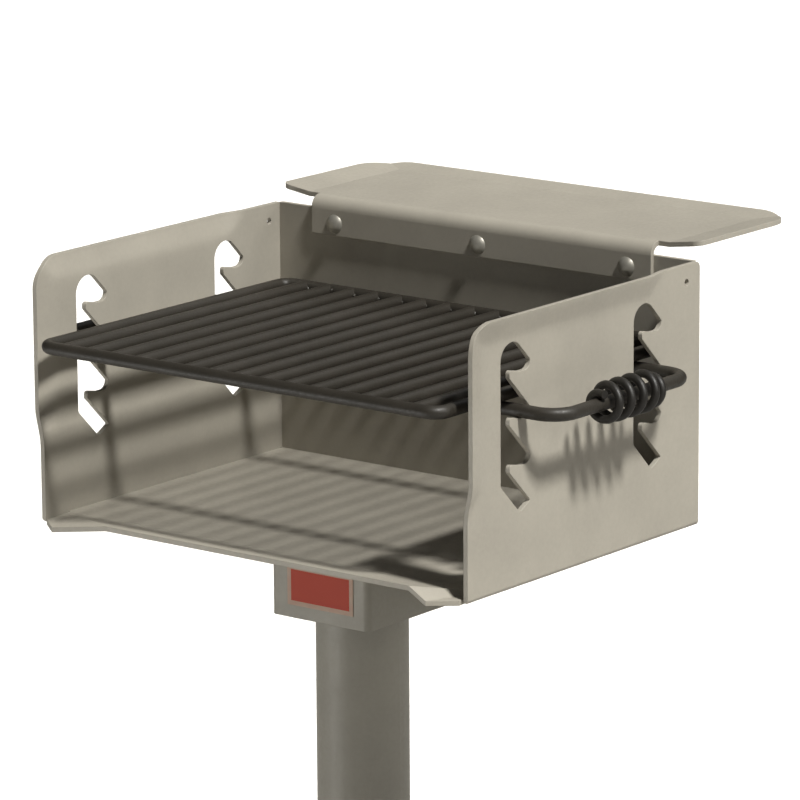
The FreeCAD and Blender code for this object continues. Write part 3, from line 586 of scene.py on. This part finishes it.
class Studio:
    """Pale floor, a sun from the right with fainter lamps, and the photograph's camera.

    Attributes:
        eye: the camera's place.
        forward: the way it looks.
        roll: its turn about that line.
        lens: its focal length, in millimetres.
        sensor: width of its sensor, in millimetres.
        shift: how far the picture's middle lies off that line.
        clip: the nearest and the farthest that it sees.
        tint: the lamps' warm white.
        floor_radius: radius of the floor.
        floor_sides: how many sides the floor's outline has.
        floor_drop: how far the floor lies under the base plate.
        floor_seen: the floor's colour to the camera.
        floor_thrown: its colour to the light that it throws up at the object.
        floor_roughness: how rough the floor is.
        floor_glow: how much the floor shines of itself to the camera.
    """

    eye = Vector((3.0336, -3.8277, 2.0141))
    forward = Vector((-0.59914, 0.76818, -0.22570))
    roll = math.radians(-0.365)
    lens = 239.41
    sensor = 36.0
    shift = (-0.0011, 0.0020)
    clip = (0.1, 60.0)
    tint = (1.0, 0.985, 0.95)
    floor_radius = 9.0
    floor_sides = 96
    floor_drop = 0.0005
    floor_seen = "e9e7e3"
    floor_thrown = "aaa8a4"
    floor_roughness = 0.9
    floor_glow = 0.35

    def camera(self) -> None:
        """Sets the camera at the photograph's place."""
        data = bpy.data.cameras.new("camera")
        data.lens = self.lens
        data.sensor_width = self.sensor
        data.shift_x, data.shift_y = self.shift
        data.clip_start, data.clip_end = self.clip
        camera = bpy.data.objects.new("camera", data)
        bpy.context.scene.collection.objects.link(camera)
        right = self.forward.cross(Vector((0, 0, 1))).normalized()
        up = right.cross(self.forward).normalized()
        side = right * math.cos(self.roll) + up * math.sin(self.roll)
        top = up * math.cos(self.roll) - right * math.sin(self.roll)
        turn = Matrix((side, top, -self.forward)).transposed()
        camera.matrix_world = Matrix.Translation(self.eye) @ turn.to_4x4()
        bpy.context.scene.camera = camera

    def lamp(self, name: str, kind: str, strength: float, place: Matrix) -> bpy.types.Light:
        """Adds a lamp in the studio's warm white.

        Args:
            name: the lamp's name.
            kind: the lamp's type.
            strength: its strength.
            place: where it is and which way it points.

        Returns:
            The lamp's own settings.
        """
        data = bpy.data.lights.new(name, kind)
        data.energy = strength
        data.color = self.tint
        lamp = bpy.data.objects.new(name, data)
        bpy.context.scene.collection.objects.link(lamp)
        lamp.matrix_world = place
        lamp.visible_camera = False
        return data

    def sun(self, name: str, towards: tuple[float, float], strength: float,
            spread: float) -> None:
        """Adds a distant lamp.

        Args:
            name: the lamp's name.
            towards: azimuth from +X and elevation of the lamp, in degrees.
            strength: its strength.
            spread: its width in the sky, in degrees.
        """
        azimuth, height = (math.radians(value) for value in towards)
        way = Vector((math.cos(azimuth) * math.cos(height),
                      math.sin(azimuth) * math.cos(height), math.sin(height)))
        place = way.to_track_quat("Z", "Y").to_matrix().to_4x4()
        self.lamp(name, "SUN", strength, place).angle = math.radians(spread)

    def panel(self, name: str, where: Vector, towards: Vector, size: float,
              strength: float) -> None:
        """Adds a round soft panel near the object.

        Args:
            name: the lamp's name.
            where: its middle.
            towards: the point that it faces.
            size: its diameter.
            strength: its power, in watts.
        """
        turn = (where - towards).to_track_quat("Z", "Y").to_matrix().to_4x4()
        data = self.lamp(name, "AREA", strength, Matrix.Translation(where) @ turn)
        data.shape = "DISK"
        data.size = size

    def backdrop(self, strength: float) -> None:
        """Sets an even sky that is white to the camera.

        Args:
            strength: how much it lights the object.
        """
        world = bpy.data.worlds.new("sky")
        world.use_nodes = True
        tree = world.node_tree
        tree.nodes.clear()
        path = add_node(tree, "ShaderNodeLightPath").outputs
        seen = maths(tree, "MAXIMUM", path["Is Camera Ray"], path["Is Transmission Ray"])
        plain = add_node(tree, "ShaderNodeBackground", Strength=strength)
        plain.inputs["Color"].default_value = (*self.tint, 1.0)
        white = add_node(tree, "ShaderNodeBackground", Strength=1.0, Color=(1.0, 1.0, 1.0, 1.0))
        mixed = add_node(tree, "ShaderNodeMixShader",
                         links={0: seen, 1: plain.outputs[0], 2: white.outputs[0]})
        add_node(tree, "ShaderNodeOutputWorld", links={"Surface": mixed.outputs[0]})
        bpy.context.scene.world = world

    def floor(self) -> None:
        """Lays a pale round floor under the base plate."""
        mesh = bpy.data.meshes.new("studio_floor")
        corners = range(self.floor_sides)
        angles = [2 * math.pi * corner / self.floor_sides for corner in corners]
        points = [(self.floor_radius * math.cos(angle), self.floor_radius * math.sin(angle),
                   -self.floor_drop) for angle in angles]
        mesh.from_pydata(points, [], [list(corners)])
        floor = bpy.data.objects.new("studio_floor", mesh)
        bpy.context.scene.collection.objects.link(floor)
        material, tree, shader = new_material("studio_floor_pale")
        shader.inputs["Roughness"].default_value = self.floor_roughness
        seen = add_node(tree, "ShaderNodeLightPath").outputs["Is Camera Ray"]
        # The floor is pale to the camera and throws less light up at the object.
        tint = blend(tree, seen, self.floor_thrown, self.floor_seen)
        tree.links.new(tint, shader.inputs["Base Color"])
        glow = add_node(tree, "ShaderNodeEmission",
                        links={"Strength": maths(tree, "MULTIPLY", seen, self.floor_glow)})
        both = add_node(tree, "ShaderNodeAddShader",
                        links={0: shader.outputs[0], 1: glow.outputs[0]})
        tree.links.new(both.outputs[0], tree.nodes["Material Output"].inputs["Surface"])
        mesh.materials.append(material)

    def build(self) -> None:
        """Sets camera, lamps, sky and floor."""
        self.camera()
        self.sun("key_lamp", towards=(-11.5, 56.0), strength=4.5, spread=7.5)
        self.sun("side_lamp", towards=(18.0, 21.0), strength=0.42, spread=14.0)
        self.sun("back_lamp", towards=(90.0, 55.0), strength=0.3, spread=50.0)
        self.panel("low_lamp", where=Vector((-0.9, -1.4, 0.05)),
                   towards=Vector((0.0, 0.0, 0.6)), size=1.2, strength=13.0)
        self.backdrop(strength=0.03)
        self.floor()
        bpy.context.scene.view_settings.view_transform = "Standard"


def main() -> None:
    """Builds the looks, group by group."""
    logging.basicConfig(level=logging.INFO, format="%(message)s")
    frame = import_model()
    nodes = frame["nodes"]
    groups = frame["record"]["behaviour"]["bodies"]
    slots = {item["node"]: item["material_slot"] for item in frame["record"]["subparts"]}

    def of_slot(slot: str) -> list[str]:
        """Finds the CAD nodes that take a material slot.

        Args:
            slot: the slot's name.

        Returns:
            Their names in order.
        """
        return sorted(name for name in nodes if slots[name] == slot)

    Subassembly(nodes, STOVE_PAINT, of_slot("firebox_paint")).dress()
    Pedestal(nodes, POST_PAINT_WITH_PAINTED_SHADE, of_slot("post_paint")).build()
    Subassembly(nodes, ZINC_PLATE, of_slot("zinc")).dress()
    Subassembly(nodes, SPRING_WIRE, of_slot("grip_wire")).dress()
    Grate(nodes, CHARCOAL_ROD, of_slot("grate_steel")).build()
    dress(nodes["red_plate"], RED_ENAMEL.build(*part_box("red_plate")))
    Studio().build()
    LOG.info("%d bodies", len(groups))


if __name__ == "__main__":
    main()
